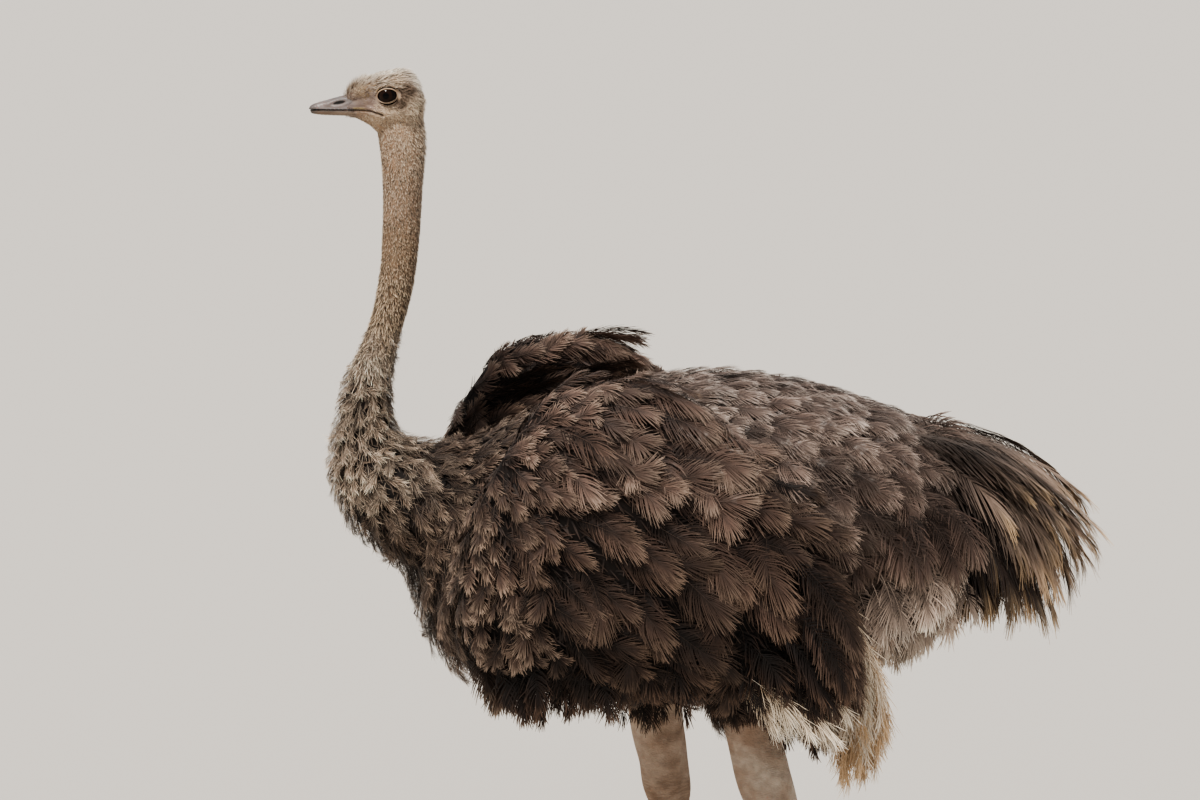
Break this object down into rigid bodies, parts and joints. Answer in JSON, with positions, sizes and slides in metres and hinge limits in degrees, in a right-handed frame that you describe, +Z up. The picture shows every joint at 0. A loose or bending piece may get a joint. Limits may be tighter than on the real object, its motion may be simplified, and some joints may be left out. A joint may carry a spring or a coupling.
{
  "type": "ostrich",
  "caption": "Life-size standing female ostrich: upright bare neck, flat bill, feathered body with wings held a little open, drooping tail, long legs and two-toed feet.",
  "frame": {"origin": "on the floor, under the middle of the bird's length and width", "axes": "+Z up; the head points to -X; the bird's left side is -Y"},
  "size_m": [1.4044, 0.7524, 1.8611],
  "materials": {
    "plumage": "soft loose plumes, dark brown with paler tips",
    "pale_plumes": "soft loose plumes, tan to cream",
    "neck_skin": "skin under short bristly down",
    "leg_skin": "bare wrinkled and scaled skin",
    "bill_horn": "worn horn, satin",
    "claw_horn": "dark horn, satin",
    "eye": "wet gloss"
  },
  "bodies": {
    "root": {"head": "neck_skin", "bill_upper": "bill_horn", "bill_lower": "bill_horn", "eye_left": "eye", "eye_right": "eye", "neck_1": "neck_skin", "neck_2": "neck_skin", "neck_3": "neck_skin", "neck_base": "plumage", "breast": "plumage", "trunk": "plumage", "rump": "plumage", "tail": "plumage", "wing_left": "plumage", "wing_right": "plumage", "flight_plumes_left": "pale_plumes", "flight_plumes_right": "pale_plumes", "shank_left": "leg_skin", "shank_right": "leg_skin", "hock_left": "leg_skin", "hock_right": "leg_skin", "tarsus_left": "leg_skin", "tarsus_right": "leg_skin", "toe_inner_left": "leg_skin", "toe_inner_right": "leg_skin", "toe_outer_left": "leg_skin", "toe_outer_right": "leg_skin", "claw_left": "claw_horn", "claw_right": "claw_horn"}
  },
  "joints": []
}
